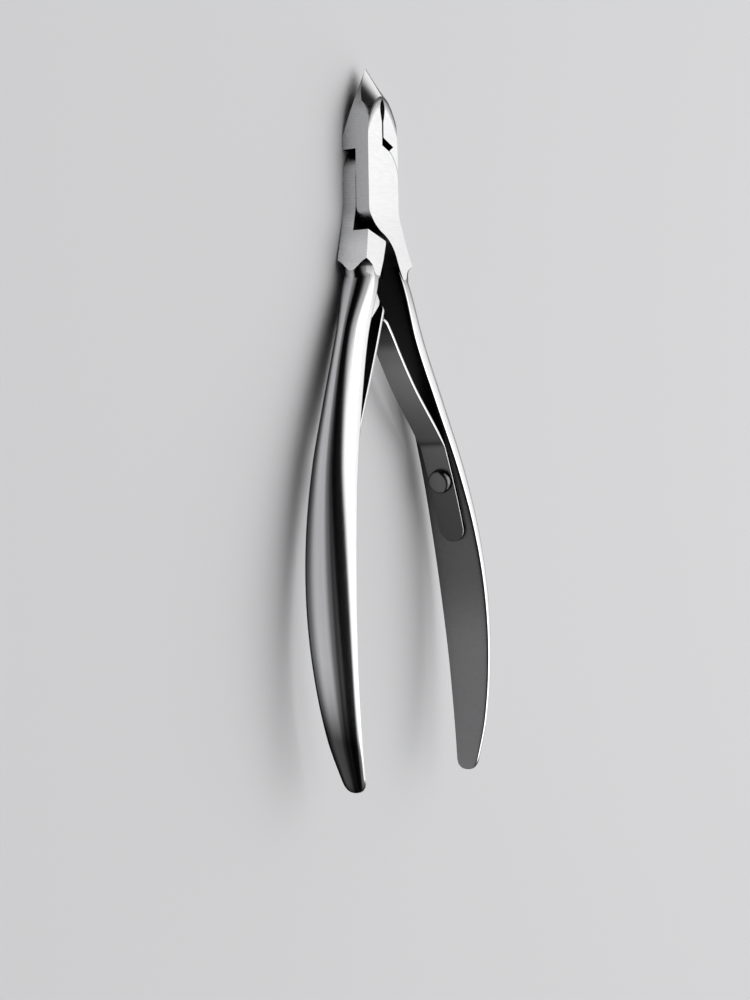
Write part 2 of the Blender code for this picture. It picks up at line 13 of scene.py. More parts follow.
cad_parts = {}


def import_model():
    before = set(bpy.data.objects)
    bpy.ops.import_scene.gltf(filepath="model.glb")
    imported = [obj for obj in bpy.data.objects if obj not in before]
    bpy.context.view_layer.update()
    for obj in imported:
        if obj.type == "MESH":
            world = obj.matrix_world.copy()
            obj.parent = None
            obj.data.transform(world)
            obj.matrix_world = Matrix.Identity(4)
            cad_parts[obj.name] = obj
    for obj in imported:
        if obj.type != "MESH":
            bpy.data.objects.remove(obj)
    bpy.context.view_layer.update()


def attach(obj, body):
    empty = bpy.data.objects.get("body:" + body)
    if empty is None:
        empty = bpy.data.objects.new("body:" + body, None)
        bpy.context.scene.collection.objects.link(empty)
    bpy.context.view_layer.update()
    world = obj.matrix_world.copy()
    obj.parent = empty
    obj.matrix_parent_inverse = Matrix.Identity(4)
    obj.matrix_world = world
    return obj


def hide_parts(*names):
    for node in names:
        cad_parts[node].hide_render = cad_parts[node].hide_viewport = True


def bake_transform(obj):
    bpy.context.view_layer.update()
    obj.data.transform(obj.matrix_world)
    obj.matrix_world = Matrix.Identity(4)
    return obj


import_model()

MM = 0.001

# Reach of the cutters past the body: across the head, through it, and beyond its tip
CUT_WIDE = 12.0
CUT_DEEP = 6.0
CUT_PAST_TIP = 3.0

# Head
TIP_V = 17.0
HEAD_HALF_WIDTH = 4.57
HEAD_HALF_THICK = 2.3
LAP_GAP = 0.05
EDGE_GAP = 0.05
SLIT_HALF = 0.22
HOLE_HALF = 0.7
HOLE_TOP_V = 11.9
HOLE_BOTTOM_V = 8.3
OGIVE_LENGTH = 13.0
OGIVE_POWER = 2.5
TIP_CROWDING = 1.6
TIP_LAND = 0.04
HOLE_SKEW = 0.75
PLATE_RADIUS = 4.5
SEAT_RADIUS = 4.6
SEAT_END_DEGREES = 84.0
HORN_DEGREES = (65.0, 21.0)
JAW_SHOULDER_V = 3.9
JAW_ROOT_V = 4.75
JAW_ROOT_CLEAR = (-0.4, 4.85)
PLATE_TOP_DEGREES = 67.0
NOTCH_FLOOR_V = 1.9
NOTCH = ((-3.24, 4.95), (-0.1, 6.05))
BLOCK_CORNER_X = 0.55
BLOCK_INNER_X = 3.9
BLOCK_OUTER_EDGE = ((HEAD_HALF_WIDTH, -0.7), (HEAD_HALF_WIDTH, -4.2), (4.63, -5.0), (4.79, -5.8),
                    (5.06, -6.9), (5.45, -8.5), (6.38, -11.3), (7.3, -13.9))
BLOCK_INNER_EDGE = ((3.3, -15.6), (1.8, -13.0), (BLOCK_CORNER_X, -10.6))
BLOCK_TOP = ((CUT_WIDE, -7.1), (BLOCK_CORNER_X, -10.15), (0.3, -11.0), (-CUT_WIDE, -11.0))
RELIEF_SIDE = ((BLOCK_INNER_X, -18.0), (-3.0, -18.0), (-3.0, -10.6))
PLATE_END = ((-4.57, -5.0), (-4.3, -6.1), (-3.2, -7.6), (-1.9, -8.55), (-0.4, -9.25), (0.7, -9.95),
             (1.65, -10.95), (2.25, -12.0), (2.75, -13.5), (3.3, -14.7), (3.9, -15.8))
OUTER_EDGE_STEPS = 48
INNER_EDGE_STEPS = 24
ARC_STEPS = 48
CURVE_STEPS = 10

# Stop tooth on the back lever, as (x, v) points, and its span about the handle's middle
STOP_TOOTH = ((-4.9, -17.6), (-3.5, -19.7), (-3.7, -20.4), (-5.9, -22.4), (-7.4, -22.4), (-6.4, -17.6))
STOP_TOOTH_V = -20.0
STOP_TOOTH_SPAN = (-1.5, 2.1)

# Cutting bevels: height of each face over the middle plane, and how it falls sideways.  The
# front one starts at an arch on the front face and steepens away from the cutting edge.
TIP_W = -0.55
BACK_BEVEL_SLOPE = 0.36
BACK_BEVEL_SIDE = 0.50
FRONT_EDGE_V = 12.4
FRONT_BEVEL_SLOPE = 0.615
FRONT_BEVEL_ARCH = 0.215
FRONT_BEVEL_STEEPEN = 0.13
FRONT_BEVEL_RUN = 4.0
FRONT_BEVEL_STEPS = 42
BACK_BEVEL_RUN = 16.0
BEVEL_START = -1.0
BEVEL_REACH = 7.0

# Handles sweep towards the front below the joint
SWEEP_START_V = -6.0
SWEEP_SLOPE = 0.083
SWEEP_CURVE = -0.000135
BLOCK_SWELL = 0.27
BLOCK_SWELL_LENGTH = 7.5
BLOCK_END_V = -16.6
BLOCK_END_OUTER_X = 8.2
HANDLE_END_V = -93.0

# Round taper at the end of the block: v, inner x, thickness in x, half width in w
BLOCK_END_STATIONS = (
    (20.0, -20.0, 40.0, 20.0),
    (-10.0, -10.0, 40.0, 20.0),
    (-12.4, -2.0, 14.0, 6.5),
    (-13.0, 0.0, 10.0, 4.6),
    (-13.4, 1.3, 7.4, 3.6),
    (-13.75, 1.6, 6.7, 3.12),
    (-14.2, 1.85, 6.15, 2.85),
    (-14.7, 2.15, 5.65, 2.73),
    (-15.15, 2.5, 5.25, 2.66),
    (-16.6, 3.3, 4.3, 2.45),
    (-17.4, 4.4, 2.3, 2.0),
)
BLOCK_END_POWER = 2.0

# Handle stations: v, inner face x, half width in w, thickness in x
HANDLE_STATIONS = (
    (-12.5, 2.5, 2.30, 3.1),
    (-17.0, 3.8, 2.70, 4.15),
    (-25.0, 7.2, 2.20, 4.75),
    (-35.0, 11.5, 2.70, 4.80),
    (-45.0, 15.5, 3.43, 4.40),
    (-55.0, 18.4, 3.98, 3.55),
    (-65.0, 20.05, 4.08, 2.80),
    (-75.0, 20.4, 3.68, 2.20),
    (-85.0, 19.3, 2.83, 1.85),
    (-93.0, 17.1, 1.60, 1.3),
)
HANDLE_FLAT_POWER = 8.0
HANDLE_ROUND_POWER = 2.05
HANDLE_FLAT_SHARE = 0.3
HANDLE_DROP = 0.15
HANDLE_RING_POINTS = 112
HANDLE_RINGS = 130
HANDLE_TIP_ROUND = 1.5
HANDLE_TIP_DEGREES = (25.0, 48.0, 68.0, 84.0)
HANDLE_TIP_POWER = 0.7

# Pivot rivet, blind in the front plate
PIVOT_RADIUS = 1.5
PIVOT_HEAD_RADIUS = 2.1
PIVOT_HEAD_DEPTH = 0.8
PIVOT_TOP_W = 1.8
PIVOT_RECESS = 0.03
PIVOT_CLEARANCE = 0.05
PIVOT_COUNTERBORE_REACH = 10.0
PIVOT_EDGE_ROUND = 0.05
PIVOT_STEPS = 96
BORE_STEPS = 72

# Springs
STRIP_THICK = 0.55
STRIP_SEAT_GAP = 0.1
STRIP_SEAT_ALLOWANCE = 1.05
STRIP_HALF_WIDTH = 2.2
STRIP_EDGE_ROUND = 0.1
STRIP_EDGE_SHARE = 0.45
STRIP_CORNER_STEPS = 4
LEAF_TIP_HALF_WIDTH = 1.9
LEAF_TIP_ROUND = 1.2
LEAF_STEPS = 10
CREASE_V = -40.6
CREASE_STRAIGHT = 0.7
FOOT_END_V = -56.6
FOOT_STEPS = 30
FOOT_CAP_STEPS = 14
FOOT_CAP_START = 0.2
RIGHT_LEAF = ((13.1, -40.6), (10.9, -38.2), (8.6, -35.8), (6.0, -33.0), (3.8, -30.2), (1.7, -27.2),
              (0.1, -24.7), (-1.8, -22.1))
LEFT_LEAF = ((-13.1, -40.6), (-10.9, -36.7), (-8.4, -32.4), (-5.5, -27.3), (-3.4, -23.5), (-1.5, -20.0))
SPRING_RIVET_V = -46.7
SPRING_RIVET_HEAD_RADIUS = 1.92
SPRING_RIVET_HEAD_FLAT = 1.4
SPRING_RIVET_HEAD_HEIGHT = 1.0
SPRING_RIVET_SHANK_RADIUS = 0.9
SPRING_RIVET_DEPTH = 2.0
SPRING_RIVET_HEAD_DEGREES = (22.5, 45.0, 67.5, 90.0)
SPRING_RIVET_RIM_SHARE = 0.25
SPRING_RIVET_CLEARANCE = 0.05
SPRING_RIVET_STEPS = 72
SPRING_BORE_STEPS = 40
SPRING_BORE_TOP = 3.0

# Angles over which an edge between two faces stays sharp
LEVER_SHARP_DEGREES = 28.0
STRIP_SHARP_DEGREES = 30.0
PIVOT_SHARP_DEGREES = 30.0
ROUNDED_EDGE_DEGREES = 32.0
SPRING_RIVET_SHARP_DEGREES = 35.0

# Frame: the origin is under the middle of the tool's length
PIVOT_Y = -(TIP_V + HANDLE_END_V) / 2.0
EPS = 1e-6

# Where one finish of a lever ends and the next begins
HEAD_FINISH_END_V = -12.9
HANDLE_FINISH_V = -15.6
INNER_FINISH_TOP_V = -9.5
LAP_FINISH_HALF = 0.2
LEVER_FINISHES = ("mirror", "inner", "ground", "front", "bevel")

# How far a face turns to an axis, or off it, for each finish
INNER_FACING = 0.7
LAP_FACING = 0.9
BLOCK_SIDE_FACING = 0.9
BLOCK_SIDE_TILT = 0.05
BLOCK_FRONT_FACING = 0.985
BLOCK_FRONT_TILT = 0.002
BEVEL_FACING_Z = 0.3
BEVEL_FACING_Y = 0.2
FRONT_FACING = 0.8
STRIP_EDGE_FACING = 0.5

# Fine lines of the finishes: their number per metre along each axis, and how they show
LINES_ACROSS = (500.0, 9000.0, 500.0)
LINES_ALONG = (5200.0, 160.0, 5200.0)
LINE_DETAIL = 3.0
LINE_DEPTH = 0.02
LINE_SPAN = (0.3, 0.7)
LINE_TONES = (0.965, 1.02)
EDGE_TINT = 0.3
STEEL_BLUE = 1.01

# Greys of the steel: (v, grey) stops along the tool; the mirror, ground, inner and strip stops are painted
# shade
# Painted shade: the mirror finish falls to half grey from the end of the block up over the head
MIRROR_TONES_PAINTED_SHADE = ((-93.0, 0.96), (-16.4, 0.92), (-14.4, 0.5), (17.0, 0.5))
# Painted shade: the ground finish darkens from the block over the plate towards the tip
GROUND_TONES_PAINTED_SHADE = ((-17.0, 0.97), (-12.0, 0.95), (-8.5, 0.72), (-5.0, 0.56), (6.0, 0.54), (17.0, 0.42))
FRONT_TONES = ((-17.0, 0.86), (17.0, 0.90))
BEVEL_TONES = ((-17.0, 0.9), (17.0, 0.9))
# Painted shade: the satin inner faces are nearly black, darkest towards the joint
INNER_TONES_PAINTED_SHADE = ((-93.0, 0.25), (-75.0, 0.25), (-60.0, 0.15), (-40.0, 0.045), (-16.0, 0.015), (-9.0, 0.02))
# Painted shade: the strips are dark, darker in a line at the crease and towards the leaf tips
STRIP_TONES_PAINTED_SHADE = ((-56.0, 0.09), (-48.0, 0.10), (-45.0, 0.15), (-41.6, 0.16), (-41.0, 0.06),
               (-40.4, 0.14), (-30.0, 0.24), (-27.5, 0.20), (-25.5, 0.07), (-23.0, 0.03))
STRIP_EDGE_TONES = ((-56.0, 0.55), (-20.0, 0.8))
RIVET_TONES = ((-93.0, 0.15), (17.0, 0.15))

# Painted reflection and shade: greys by how far a surface faces along an axis, as (facing, grey) stops
# Painted reflection on the mirror finish: dark on faces turned down, a bright band just below level, a dark
# band a little above it, bright on faces turned up
MIRROR_PAINTED_REFLECTION = ((-1.4, 0.1), (-0.9, 0.05), (-0.55, 0.4), (-0.22, 1.0), (0.0, 0.78), (0.16, 0.2),
                 (0.26, 0.06), (0.4, 0.12), (0.58, 0.4), (0.78, 1.0), (1.4, 1.0))
# Painted shade on mirror faces turned towards the handle's end
SCALLOP_PAINTED_SHADE = ((-0.6, 0.06), (-0.25, 0.12), (-0.06, 1.0), (1.0, 1.0))
# Painted shade on ground faces turned up or down the tool
GROUND_PAINTED_SHADE = ((-0.75, 0.06), (-0.3, 1.0), (0.25, 1.0), (0.5, 0.5), (0.8, 0.05))
# Painted shade on the cutting bevel where it turns away from the front
BEVEL_PAINTED_SHADE = ((0.3, 0.5), (0.5, 0.6), (0.76, 1.0), (1.0, 1.0))

# The mirror's painted reflection is stretched towards the handle's end: (v, factor) at either end
MIRROR_REFLECTION_SPREAD = ((-75.0, 1.5), (-15.0, 0.64))

# Painted shade on the front face, by its distance under the bevels' arch: (distance, grey) stops
SCOOP_PAINTED_SHADE = ((3.2, 1.0), (2.1, 1.0), (0.95, 0.5), (0.3, 0.14), (-0.3, 0.1))

# Studio
FLOOR_SIZE = 3.0
FLOOR_DROP = 0.00005
FLOOR_COLOUR = (0.62, 0.62, 0.63, 1.0)
FLOOR_ROUGHNESS = 0.9
WORLD_LEAN_X = 0.6
WORLD_DARK_TO = 0.26
WORLD_BRIGHT_FROM = 0.74
WORLD_DARK = (0.015, 0.015, 0.016, 1.0)
WORLD_BRIGHT = (1.0, 1.0, 1.0, 1.0)
WORLD_STRENGTH = 1.08
LIGHT_PLACE = (0.22, 0.02, 0.50)
LIGHT_TARGET = (0.0, -0.01, 0.0)
LIGHT_SIZE = 0.6
LIGHT_POWER = 1.2
CAMERA_PLACE = (-0.2926, -0.0180, 0.1712)
CAMERA_TARGET = (0.0, -0.01197, 0.00216)
CAMERA_ROLL = -0.917
CAMERA_LENS = 78.69
CAMERA_SENSOR = 36.0
CAMERA_CLIP_START = 0.01


def place(x, v, w):
    """Turn a design point into world metres."""
    return Vector((x, v + PIVOT_Y, w + HEAD_HALF_THICK)) * MM


def mesh_object(name, mesh):
    """Put a mesh or curve into the scene as an object."""
    thing = bpy.data.objects.new(name, mesh)
    bpy.context.scene.collection.objects.link(thing)
    return thing


def flat_solid(name, points, thickness, matrix):
    """Extrude a closed outline, given in the matrix's own plane, by its thickness."""
    curve = bpy.data.curves.new(name, "CURVE")
    curve.dimensions = "2D"
    curve.fill_mode = "BOTH"
    curve.extrude = thickness * MM / 2.0
    spline = curve.splines.new("POLY")
    spline.points.add(len(points) - 1)
    for target, (across, along) in zip(spline.points, points):
        target.co = (across * MM, along * MM, 0.0, 1.0)
    spline.use_cyclic_u = True
    outline = mesh_object(name + "_outline", curve)
    outline.matrix_world = matrix
    bpy.context.view_layer.update()
    evaluated = outline.evaluated_get(bpy.context.evaluated_depsgraph_get())
    mesh = bpy.data.meshes.new_from_object(evaluated)
    work = bmesh.new()
    work.from_mesh(mesh)
    bmesh.ops.remove_doubles(work, verts=work.verts, dist=EPS)
    bmesh.ops.recalc_face_normals(work, faces=work.faces)
    work.to_mesh(mesh)
    work.free()
    solid = mesh_object(name, mesh)
    solid.matrix_world = matrix
    bpy.data.objects.remove(outline, do_unlink=True)
    return solid


def plan_solid(name, points, low_w, high_w):
    """Extrude an outline of (x, v) points through the thickness, from low_w to high_w."""
    matrix = Matrix.Translation(place(0.0, 0.0, (low_w + high_w) / 2.0))
    return flat_solid(name, points, high_w - low_w, matrix)


def side_solid(name, points, low_x, high_x):
    """Extrude an outline of (w, v) points across the tool, from low_x to high_x."""
    turn = Matrix(((0.0, 0.0, -1.0), (0.0, 1.0, 0.0), (1.0, 0.0, 0.0))).to_4x4()
    matrix = Matrix.Translation(place((low_x + high_x) / 2.0, 0.0, 0.0)) @ turn
    return flat_solid(name, points, high_x - low_x, matrix)


def loft_solid(name, rings):
    """Join rings of matching points into one closed body."""
    work = bmesh.new()
    rows = [[work.verts.new(place(*point)) for point in ring] for ring in rings]
    count = len(rings[0])
    for near, far in zip(rows, rows[1:]):
        for i in range(count):
            j = (i + 1) % count
            work.faces.new((near[i], near[j], far[j], far[i]))
    work.faces.new(rows[0])
    work.faces.new(rows[-1])
    bmesh.ops.recalc_face_normals(work, faces=work.faces)
    mesh = bpy.data.meshes.new(name)
    work.to_mesh(mesh)
    work.free()
    return mesh_object(name, mesh)


def combine(target, other, operation):
    """Join or cut with another body, which is used up."""
    modifier = target.modifiers.new(other.name, "BOOLEAN")
    modifier.operation = operation
    modifier.object = other
    modifier.solver = "EXACT"
    bake(target)
    bpy.data.objects.remove(other, do_unlink=True)


def bake(thing):
    """Replace the mesh with its evaluated self, in world coordinates."""
    bpy.context.view_layer.update()
    evaluated = thing.evaluated_get(bpy.context.evaluated_depsgraph_get())
    mesh = bpy.data.meshes.new_from_object(evaluated)
    mesh.transform(thing.matrix_world)
    thing.modifiers.clear()
    thing.data = mesh
    thing.matrix_world = Matrix.Identity(4)


def arc(radius, start_degrees, end_degrees, steps):
    points = []
    for i in range(steps + 1):
        angle = math.radians(start_degrees + (end_degrees - start_degrees) * i / steps)
        points.append((radius * math.cos(angle), radius * math.sin(angle)))
    return points


def path_points(points, steps):
    """Even stations on a smooth curve through the given (x, v) points."""
    result = []
    last = len(points) - 1
    for i in range(last):
        a, b = Vector(points[max(i - 1, 0)]), Vector(points[i])
        c, d = Vector(points[i + 1]), Vector(points[min(i + 2, last)])
        for k in range(steps):
            t = k / steps
            point = 0.5 * (2 * b + (c - a) * t + (2 * a - 5 * b + 4 * c - d) * t * t
                           + (3 * b - a - 3 * c + d) * t ** 3)
            result.append(point)
    result.append(Vector(points[-1]))
    return result


def mirrored(points):
    """Swap left and right, keeping the outline's direction."""
    return [(-x, v) for x, v in reversed(points)]


def sweep(v):
    """Forward offset of the handle's middle at v."""
    below = max(0.0, SWEEP_START_V - v)
    return SWEEP_SLOPE * below + SWEEP_CURVE * below * below


def block_half_thick(v):
    below = max(0.0, SWEEP_START_V - v)
    return HEAD_HALF_THICK + BLOCK_SWELL * min(1.0, below / BLOCK_SWELL_LENGTH)


def smooth_value(stations, v, column):
    """Read one column of the stations at v by a Catmull-Rom curve through them."""
    last = len(stations) - 1
    i = 0
    while i < last - 1 and stations[i + 1][0] > v:
        i += 1
    here, there = stations[i], stations[i + 1]
    before = stations[max(i - 1, 0)]
    after = stations[min(i + 2, last)]
    span = there[0] - here[0]
    t = (v - here[0]) / span
    slope_here = (there[column] - before[column]) / (there[0] - before[0]) * span
    slope_there = (after[column] - here[column]) / (after[0] - here[0]) * span
    return (
        (2 * t ** 3 - 3 * t ** 2 + 1) * here[column]
        + (t ** 3 - 2 * t ** 2 + t) * slope_here
        + (3 * t ** 2 - 2 * t ** 3) * there[column]
        + (t ** 3 - t ** 2) * slope_there
    )


def inner_face_x(v):
    return smooth_value(HANDLE_STATIONS, v, 1)


# --- levers -------------------------------------------------------------------------------

def jaw_half_width(v):
    """Half width of the closed head at v; it closes in an ogive to the tip."""
    run = min(1.0, (TIP_V - v) / OGIVE_LENGTH)
    return HEAD_HALF_WIDTH * (1.0 - (1.0 - run) ** OGIVE_POWER)


def jaw_outer_edge():
    """Left edge of the left jaw, from the shoulder up to the tip."""
    bottom = TIP_V - OGIVE_LENGTH
    points = []
    for i in range(OUTER_EDGE_STEPS + 1):
        share = i / OUTER_EDGE_STEPS
        v = bottom + (TIP_V - bottom) * (1.0 - (1.0 - share) ** TIP_CROWDING)
        points.append((-max(jaw_half_width(v), EDGE_GAP + TIP_LAND), v))
    return points


def jaw_inner_edge(bottom_v):
    """Facing edge of the left jaw, from the tip down past the relief hole and the slit."""
    points = [(-EDGE_GAP, TIP_V), (-EDGE_GAP, HOLE_TOP_V)]
    for i in range(1, INNER_EDGE_STEPS):
        share = i / INNER_EDGE_STEPS
        bulge = math.sin(math.pi * share ** HOLE_SKEW)
        base = EDGE_GAP + (SLIT_HALF - EDGE_GAP) * share
        x = base + (HOLE_HALF - base) * bulge
        points.append((-x, HOLE_TOP_V + (HOLE_BOTTOM_V - HOLE_TOP_V) * share))
    points.append((-SLIT_HALF, HOLE_BOTTOM_V))
    points.append((-SLIT_HALF, bottom_v))
    return points


def plate_end():
    """S-shaped end of the plate, from the left edge of the head down to the block's face."""
    curve = [(point.x, point.y) for point in path_points(PLATE_END, CURVE_STEPS)]
    under_plate = [point for point in curve if point[0] < BLOCK_CORNER_X]
    beside_block = [point for point in curve if point[0] >= BLOCK_CORNER_X]
    return under_plate, beside_block


def lever_outline():
    """Front lever seen from the front: left jaw, plate round the pivot, block on the right."""
    points = jaw_outer_edge()
    points += jaw_inner_edge(JAW_ROOT_V)
    points += arc(PLATE_RADIUS, PLATE_TOP_DEGREES, 0.0, ARC_STEPS)
    points += list(BLOCK_OUTER_EDGE) + [(BLOCK_END_OUTER_X, BLOCK_END_V), (BLOCK_INNER_X, BLOCK_END_V)]
    points += list(BLOCK_INNER_EDGE)
    under_plate = plate_end()[0]
    points += [(BLOCK_CORNER_X, under_plate[-1][1] - LAP_GAP)] + list(reversed(under_plate))
    return points


def pocket_outline(jaw_edge):
    """Room for the other lever's plate, from the far half of the jaw to the top of the block."""
    return jaw_edge + list(BLOCK_TOP)


def square_jaw_edge():
    """The far half of the front lever's jaw: a square shoulder, then a seat round the plate."""
    shoulder_degrees = math.degrees(math.asin(JAW_SHOULDER_V / SEAT_RADIUS))
    seat = [(-x, v) for x, v in arc(SEAT_RADIUS, shoulder_degrees, SEAT_END_DEGREES, ARC_STEPS)]
    return [(-CUT_WIDE, JAW_SHOULDER_V)] + seat + [JAW_ROOT_CLEAR, (CUT_WIDE, JAW_ROOT_CLEAR[1])]


def seated_jaw_edge():
    """The far half of the back lever's jaw: a slanted notch, then a horn round the plate."""
    horn = [(-x, v) for x, v in reversed(arc(SEAT_RADIUS, *HORN_DEGREES, ARC_STEPS))]
    notch_floor = [(-CUT_WIDE, NOTCH_FLOOR_V), (-HEAD_HALF_WIDTH, NOTCH_FLOOR_V)]
    return notch_floor + horn + list(NOTCH) + [(CUT_WIDE, NOTCH[-1][1])]


def relief_outline():
    """The near face of the block is cut back beside the S-shaped end of the plate."""
    under_plate, beside_block = plate_end()
    return [under_plate[-1]] + beside_block + list(RELIEF_SIDE)


def side_profile():
    """Front and back faces of the head and the blocks, as (w, v) points."""
    top_v = TIP_V + CUT_PAST_TIP
    bend_v = SWEEP_START_V - BLOCK_SWELL_LENGTH
    below_v = BLOCK_END_V - 1.0
    front = [(HEAD_HALF_THICK, top_v), (HEAD_HALF_THICK, SWEEP_START_V)]
    back = [(-HEAD_HALF_THICK, top_v), (-HEAD_HALF_THICK, SWEEP_START_V)]
    for v in (bend_v, below_v):
        front.append((sweep(v) + block_half_thick(v), v))
        back.append((sweep(v) - block_half_thick(v), v))
    return front + list(reversed(back))


def front_bevel(side):
    """Body in front of the sharpened face of one jaw; side is -1 for the left jaw."""
    rings = []
    for i in range(FRONT_BEVEL_STEPS + 1):
        depth = BEVEL_START + BEVEL_REACH * i / FRONT_BEVEL_STEPS
        edge_v = FRONT_EDGE_V - FRONT_BEVEL_ARCH * depth ** 2
        slope = FRONT_BEVEL_SLOPE + FRONT_BEVEL_STEEPEN * abs(depth)
        low_v = edge_v - FRONT_BEVEL_RUN
        high_v = TIP_V + CUT_PAST_TIP
        low_w = HEAD_HALF_THICK + slope * (edge_v - low_v)
        high_w = HEAD_HALF_THICK - slope * (high_v - edge_v)
        x = side * depth
        rings.append([(x, low_v, low_w), (x, high_v, high_w), (x, high_v, low_w)])
    return loft_solid("front_bevel", rings)


def back_bevel(side):
    """Body behind the sloping back face of one jaw."""
    rings = []
    for depth in (BEVEL_START, BEVEL_START + BEVEL_REACH):
        rise = BACK_BEVEL_SIDE * depth
        low_v = TIP_V - BACK_BEVEL_RUN
        high_v = TIP_V + CUT_PAST_TIP
        low_w = TIP_W - BACK_BEVEL_SLOPE * BACK_BEVEL_RUN + rise
        high_w = TIP_W + BACK_BEVEL_SLOPE * CUT_PAST_TIP + rise
        x = side * depth
        rings.append([(x, low_v, low_w), (x, high_v, high_w), (x, high_v, low_w)])
    return loft_solid("back_bevel", rings)


def d_ring(side, v, inner, thick, half_w, flat_power, round_power, drop=0.0):
    """D-shaped section at v: a flat inner face, and a fuller, rounder outer one."""
    flat_depth = thick * HANDLE_FLAT_SHARE
    ring = []
    for i in range(HANDLE_RING_POINTS):
        angle = 2.0 * math.pi * i / HANDLE_RING_POINTS
        c, s = math.cos(angle), math.sin(angle)
        power = round_power if c > 0.0 else flat_power
        depth = (thick - flat_depth) if c > 0.0 else flat_depth
        x = inner + flat_depth + math.copysign(abs(c) ** (2.0 / power), c) * depth
        w = sweep(v) - drop + math.copysign(abs(s) ** (2.0 / power), s) * half_w
        ring.append((side * x, v, w))
    return ring


def block_end_cone(side):
    """Round taper that trims the block's outer corners where it meets the handle."""
    powers = (HANDLE_FLAT_POWER, BLOCK_END_POWER)
    return loft_solid("block_end", [d_ring(side, *station, *powers) for station in BLOCK_END_STATIONS])


def handle_ring(side, v, shrink):
    """Section of the handle at v, shrunk about its middle where the end is rounded."""
    inner = inner_face_x(v)
    half_w = smooth_value(HANDLE_STATIONS, v, 2)
    thick = smooth_value(HANDLE_STATIONS, v, 3)
    inner += (1.0 - shrink) * thick / 2.0
    powers = (HANDLE_FLAT_POWER, HANDLE_ROUND_POWER)
    return d_ring(side, v, inner, thick * shrink, half_w * shrink, *powers, HANDLE_DROP)


def handle(side):
    """The whole handle, from inside the block to its rounded end."""
    top_v = HANDLE_STATIONS[0][0]
    round_v = HANDLE_END_V + HANDLE_TIP_ROUND
    rings = []
    for i in range(HANDLE_RINGS):
        v = top_v + (round_v - top_v) * i / (HANDLE_RINGS - 1)
        rings.append(handle_ring(side, v, 1.0))
    for degrees in HANDLE_TIP_DEGREES:
        angle = math.radians(degrees)
        v = round_v - HANDLE_TIP_ROUND * math.sin(angle)
        rings.append(handle_ring(side, v, math.cos(angle) ** HANDLE_TIP_POWER))
    return loft_solid("handle", rings)


def stop_tooth():
    """Small tooth on the inner side of the left handle, under the end of the block."""
    low_w, high_w = (sweep(STOP_TOOTH_V) + offset for offset in STOP_TOOTH_SPAN)
    return plan_solid("stop_tooth", STOP_TOOTH, low_w, high_w)


def lever(name, side, jaw_edge, extras):
    """side is +1 for the front lever, whose handle is on the right, and -1 for the back one."""
    outlines = [lever_outline(), pocket_outline(jaw_edge), relief_outline()]
    if side < 0:
        outlines = [mirrored(points) for points in outlines]
    outline, pocket, relief = outlines
    body = plan_solid(name, outline, -CUT_DEEP, CUT_DEEP)
    combine(body, side_solid("head_faces", side_profile(), -CUT_WIDE, CUT_WIDE), "INTERSECT")
    combine(body, block_end_cone(side), "INTERSECT")
    behind, before = (-CUT_DEEP - 1.0, LAP_GAP), (-LAP_GAP, CUT_DEEP + 1.0)
    pocket_span, relief_span = (behind, before) if side > 0 else (before, behind)
    combine(body, plan_solid("lap_pocket", pocket, *pocket_span), "DIFFERENCE")
    combine(body, plan_solid("block_relief", relief, *relief_span), "DIFFERENCE")
    combine(body, front_bevel(-side), "DIFFERENCE")
    combine(body, back_bevel(-side), "DIFFERENCE")
    combine(body, handle(side), "UNION")
    for thing, operation in extras:
        combine(body, thing, operation)
    return body


# --- rivets -------------------------------------------------------------------------------

def turned_solid(name, profile, matrix, steps):
    """Turn a profile of (radius, height) points, listed top to bottom, about local Z."""
    work = bmesh.new()
    verts = [work.verts.new((radius * MM, 0.0, height * MM)) for radius, height in profile]
    for near, far in zip(verts, verts[1:]):
        work.edges.new((near, far))
    mesh = bpy.data.meshes.new(name)
    work.to_mesh(mesh)
    work.free()
    solid = mesh_object(name, mesh)
    solid.matrix_world = matrix
    screw = solid.modifiers.new("turn", "SCREW")
    screw.angle = 2.0 * math.pi
    screw.steps = steps
    screw.render_steps = steps
    screw.use_merge_vertices = True
    screw.merge_threshold = EPS
    screw.use_smooth_shade = True
    return solid


def pivot_profile(grow):
    """Shank and flush head of the pivot rivet; grow adds clearance for its bore."""
    head_w = -HEAD_HALF_THICK + PIVOT_RECESS
    top_w = PIVOT_TOP_W + grow
    seat_w = head_w + PIVOT_HEAD_DEPTH + grow
    bottom_w = head_w - PIVOT_COUNTERBORE_REACH * grow
    shank, head = PIVOT_RADIUS + grow, PIVOT_HEAD_RADIUS + grow
    return [(0.0, top_w), (shank, top_w), (shank, seat_w), (head, seat_w), (head, bottom_w), (0.0, bottom_w)]


def rivet_axis(side):
    """Matrix at the foot's inner surface, local Z pointing away from the handle."""
    step = 0.5
    rise = (inner_face_x(SPRING_RIVET_V - step) - inner_face_x(SPRING_RIVET_V + step)) / (2.0 * step)
    outward = Vector((-side, -rise, 0.0)).normalized()
    across = Vector((0.0, 0.0, 1.0))
    along = across.cross(outward)
    turn = Matrix((along, across, outward)).transposed().to_4x4()
    lift = STRIP_SEAT_GAP + STRIP_THICK + STRIP_SEAT_GAP
    seat = place(side * inner_face_x(SPRING_RIVET_V), SPRING_RIVET_V, sweep(SPRING_RIVET_V))
    return Matrix.Translation(seat + outward * lift * MM) @ turn


